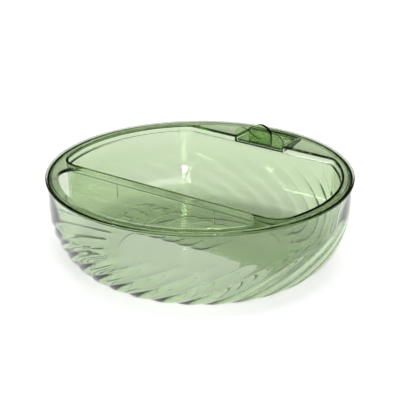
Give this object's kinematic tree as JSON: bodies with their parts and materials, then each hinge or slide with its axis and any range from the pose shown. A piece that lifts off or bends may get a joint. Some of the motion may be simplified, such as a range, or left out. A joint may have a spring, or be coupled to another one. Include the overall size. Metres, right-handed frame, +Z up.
{
  "type": "chip and dip server",
  "caption": "Round two-layer snack server: fluted clear outer bowl, lift-out tray with a deep compartment and an open mouth, and a flip-up phone rest.",
  "frame": {"origin": "centre of the foot, on the surface that the bowl stands on", "axes": "+Z up; +X along the divider and the hinge of the phone rest; +Y from the open mouth towards the phone rest"},
  "size_m": [0.25, 0.25, 0.0885],
  "materials": {
    "bowl_plastic": "clear moulded plastic with a light green tint",
    "tray_plastic": "clear moulded plastic with a light green tint",
    "holder_plastic": "clear moulded plastic with a green tint",
    "rest_plastic": "clear moulded plastic with a deeper green tint",
    "pin_plastic": "clear plastic rod"
  },
  "bodies": {
    "bowl": {"outer_bowl": "bowl_plastic"},
    "tray": {"serving_tray": "tray_plastic", "phone_holder": "holder_plastic", "hinge_pin": "pin_plastic"},
    "rest": {"rest_plate": "rest_plastic"}
  },
  "joints": [
    {"name": "tray_lift", "type": "slide", "parent": "bowl", "child": "tray", "axis": [0, 0, 1], "range_m": [0, 0.07]},
    {"name": "rest_fold", "type": "hinge", "parent": "tray", "child": "rest", "pos_m": [0, 0.11375, 0.072], "axis": [-1, 0, 0], "range_deg": [0, 105]}
  ]
}
